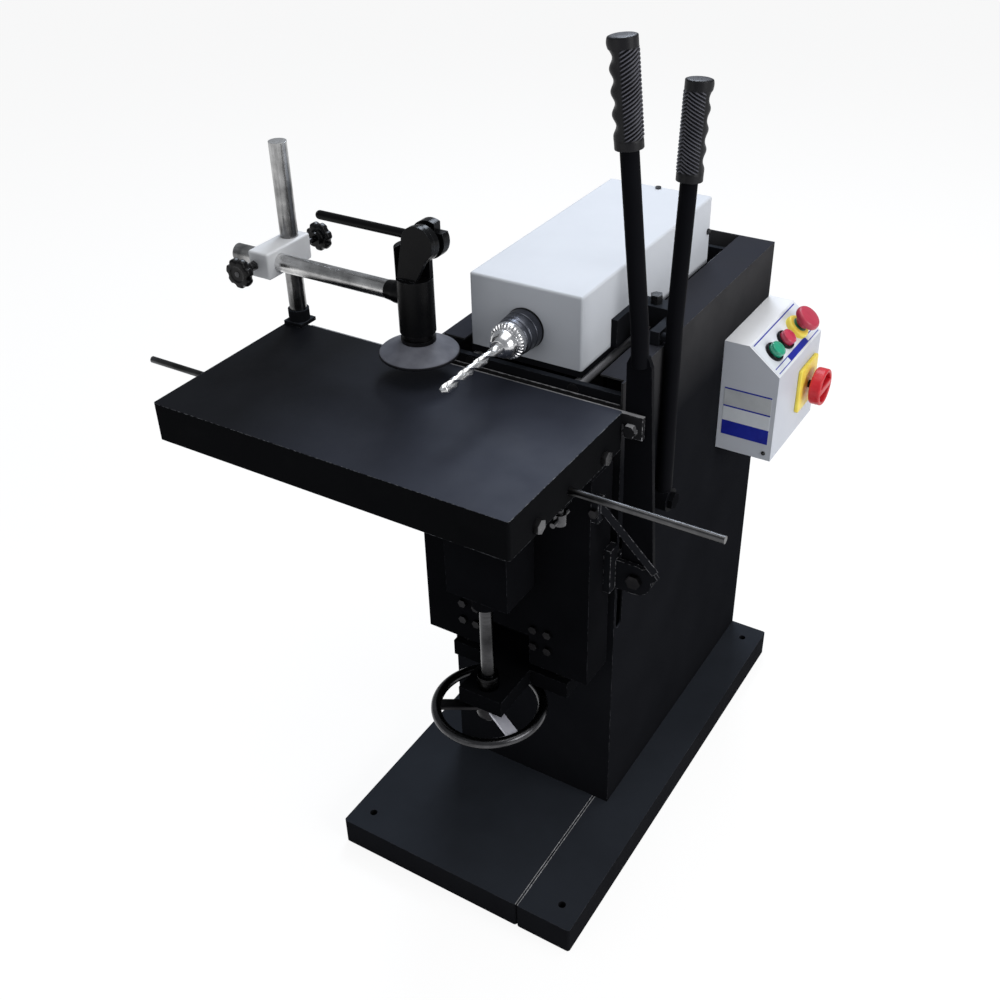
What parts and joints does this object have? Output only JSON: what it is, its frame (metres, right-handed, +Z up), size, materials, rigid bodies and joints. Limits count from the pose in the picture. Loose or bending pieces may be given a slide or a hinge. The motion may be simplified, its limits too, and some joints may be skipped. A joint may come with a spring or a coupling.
{
  "type": "horizontal boring machine",
  "caption": "Floor-standing woodworking boring machine with a sliding drill head, a lifting and traversing table, hand levers, a hold-down clamp and a switch box.",
  "frame": {"origin": "centre of the base's underside, on the floor, at the middle of the four anchor holes", "axes": "+X to the machine's right as the operator at the table sees it, +Y from the table towards the column's back, +Z up"},
  "size_m": [0.9895, 0.9126, 1.3809],
  "materials": {
    "black_paint": "semi-gloss black paint",
    "cover_paint": "pale grey paint",
    "clamp_paint": "off-white paint",
    "ground_rod": "ground steel",
    "zinc_steel": "plain steel fasteners",
    "bright_steel": "bright turned steel",
    "chrome_steel": "polished",
    "dark_steel": "blackened steel",
    "cast_grey": "grey cast iron",
    "bronze": "bronze",
    "motor_paint": "grey paint",
    "belt_rubber": "belt",
    "grip_rubber": "soft black rubber",
    "knob_plastic": "black plastic",
    "box_paint": "light grey paint",
    "green_plastic": "green",
    "red_plastic": "red",
    "yellow_plastic": "yellow"
  },
  "bodies": {
    "frame": {"base_pan_wide": "black_paint", "base_pan_narrow": "black_paint", "column_shell": "black_paint", "column_back": "black_paint", "back_panel_screws": "zinc_steel", "head_guide_rods": "ground_rod", "rod_supports": "black_paint", "feed_pivot_stud": "zinc_steel", "guide_bars": "ground_rod", "guide_brackets": "black_paint", "switch_box": "box_paint", "switch_backplates": "yellow_plastic", "button_bezels": "knob_plastic"},
    "head": {"carriage_plate": "black_paint", "head_slide_blocks": "black_paint", "head_cover": "cover_paint", "head_screws": "zinc_steel", "spindle_housing": "cast_grey", "motor": "motor_paint", "drive_belt": "belt_rubber", "feed_arm": "black_paint"},
    "spindle": {"spindle_shaft": "ground_rod", "chuck_body": "dark_steel", "drill_bit": "bright_steel"},
    "chuck_sleeve": {"chuck_sleeve": "chrome_steel"},
    "motor_rotor": {"motor_shaft": "ground_rod"},
    "feed_lever": {"feed_lever": "black_paint", "feed_grip": "grip_rubber"},
    "lift_screw": {"lift_screw": "bright_steel", "handwheel": "bright_steel"},
    "knee": {"knee_channel": "black_paint", "knee_slide_blocks": "black_paint", "knee_apron": "black_paint", "saddle_plate": "black_paint", "table_slide_blocks": "black_paint", "lift_nut": "bronze", "lever_bracket": "black_paint", "knee_bolts": "zinc_steel"},
    "table": {"table_top": "black_paint", "table_guide_rods": "ground_rod", "table_end_bolts": "zinc_steel", "drive_strip": "black_paint", "post_bracket": "black_paint", "clamp_post": "ground_rod"},
    "traverse_lever": {"traverse_lever": "black_paint", "traverse_grip": "grip_rubber"},
    "stop_rod": {"stop_rod": "ground_rod"},
    "rod_lock": {"rod_lock_screw": "zinc_steel"},
    "clamp_block": {"clamp_block": "clamp_paint"},
    "arm_knob": {"arm_knob": "knob_plastic"},
    "post_knob": {"post_knob": "knob_plastic"},
    "clamp_arm": {"clamp_arm": "ground_rod", "clamp_sleeve": "black_paint"},
    "cam": {"cam_lever": "black_paint"},
    "plunger": {"plunger": "bright_steel", "clamp_foot": "grip_rubber"},
    "start_button": {"start_button": "green_plastic"},
    "stop_button": {"stop_button": "red_plastic"},
    "estop_button": {"estop_button": "red_plastic"},
    "main_switch": {"main_switch": "red_plastic"}
  },
  "joints": [
    {"name": "head_feed", "type": "slide", "parent": "frame", "child": "head", "axis": [0, 1, 0], "range_m": [-0.012, 0.095]},
    {"name": "feed_lever_swing", "type": "hinge", "parent": "frame", "child": "feed_lever", "pos_m": [0.1685, -0.018, 0.64], "axis": [1, 0, 0], "range_deg": [-19, 2.5]},
    {"name": "spindle_turn", "type": "hinge", "parent": "head", "child": "spindle", "pos_m": [-0.015, -0.2, 0.947], "axis": [0, 1, 0], "continuous": true},
    {"name": "motor_turn", "type": "hinge", "parent": "head", "child": "motor_rotor", "pos_m": [-0.015, 0, 0.72], "axis": [0, 1, 0], "continuous": true},
    {"name": "chuck_sleeve_turn", "type": "hinge", "parent": "spindle", "child": "chuck_sleeve", "pos_m": [-0.015, -0.17, 0.947], "axis": [0, 1, 0], "range_deg": [-90, 90]},
    {"name": "handwheel_turn", "type": "hinge", "parent": "frame", "child": "lift_screw", "pos_m": [0, -0.29, 0.331], "axis": [0, 0, 1], "range_deg": [-1260, 1980]},
    {"name": "table_lift", "type": "slide", "parent": "frame", "child": "knee", "axis": [0, 0, 1], "range_m": [-0.0551, 0.0351]},
    {"name": "table_traverse", "type": "slide", "parent": "knee", "child": "table", "axis": [1, 0, 0], "range_m": [-0.045, 0.04]},
    {"name": "traverse_lever_swing", "type": "hinge", "parent": "knee", "child": "traverse_lever", "pos_m": [0.1955, -0.1595, 0.587], "axis": [0, 1, 0], "range_deg": [-9.8, 8.7]},
    {"name": "stop_rod_slide", "type": "slide", "parent": "table", "child": "stop_rod", "axis": [1, 0, 0], "range_m": [-0.1, 0.1]},
    {"name": "rod_lock_turn", "type": "hinge", "parent": "table", "child": "rod_lock", "pos_m": [0.151, -0.327, 0.783], "axis": [0, 0, 1], "range_deg": [-180, 180]},
    {"name": "clamp_height", "type": "slide", "parent": "table", "child": "clamp_block", "axis": [0, 0, 1], "range_m": [-0.03, 0.12]},
    {"name": "clamp_reach", "type": "slide", "parent": "clamp_block", "child": "clamp_arm", "axis": [1, 0, 0], "range_m": [-0.12, 0.003]},
    {"name": "arm_knob_turn", "type": "hinge", "parent": "clamp_block", "child": "arm_knob", "pos_m": [-0.428, -0.277, 1], "axis": [0, 1, 0], "range_deg": [-180, 180]},
    {"name": "post_knob_turn", "type": "hinge", "parent": "clamp_block", "child": "post_knob", "pos_m": [-0.42, -0.1, 0.996], "axis": [0, 1, 0], "range_deg": [-180, 180]},
    {"name": "cam_turn", "type": "hinge", "parent": "clamp_arm", "child": "cam", "pos_m": [-0.139, -0.205, 1.083], "axis": [0, 1, 0], "range_deg": [0, 90]},
    {"name": "plunger_drop", "type": "slide", "parent": "clamp_arm", "child": "plunger", "axis": [0, 0, 1], "range_m": [-0.006, 0]},
    {"name": "start_press", "type": "slide", "parent": "frame", "child": "start_button", "axis": [-0.6196, 0, -0.7849], "range_m": [0, 0.003], "stiffness_N_per_m": 400, "springref_m": -0.002},
    {"name": "stop_press", "type": "slide", "parent": "frame", "child": "stop_button", "axis": [-0.6196, 0, -0.7849], "range_m": [0, 0.003], "stiffness_N_per_m": 400, "springref_m": -0.002},
    {"name": "estop_press", "type": "slide", "parent": "frame", "child": "estop_button", "axis": [-0.6196, 0, -0.7849], "range_m": [0, 0.003]},
    {"name": "main_switch_turn", "type": "hinge", "parent": "frame", "child": "main_switch", "pos_m": [0.27, 0.371, 0.686], "axis": [1, 0, 0], "range_deg": [0, 90]}
  ],
  "couplings": [
    {"joint": "feed_lever_swing", "follows": "head_feed", "rad_per_m": -3.464},
    {"joint": "motor_turn", "follows": "spindle_turn", "ratio": 1},
    {"joint": "table_lift", "follows": "handwheel_turn", "m_per_rad": -0.0015915},
    {"joint": "traverse_lever_swing", "follows": "table_traverse", "rad_per_m": 3.766},
    {"joint": "plunger_drop", "follows": "cam_turn", "m_per_rad": -0.0038}
  ]
}
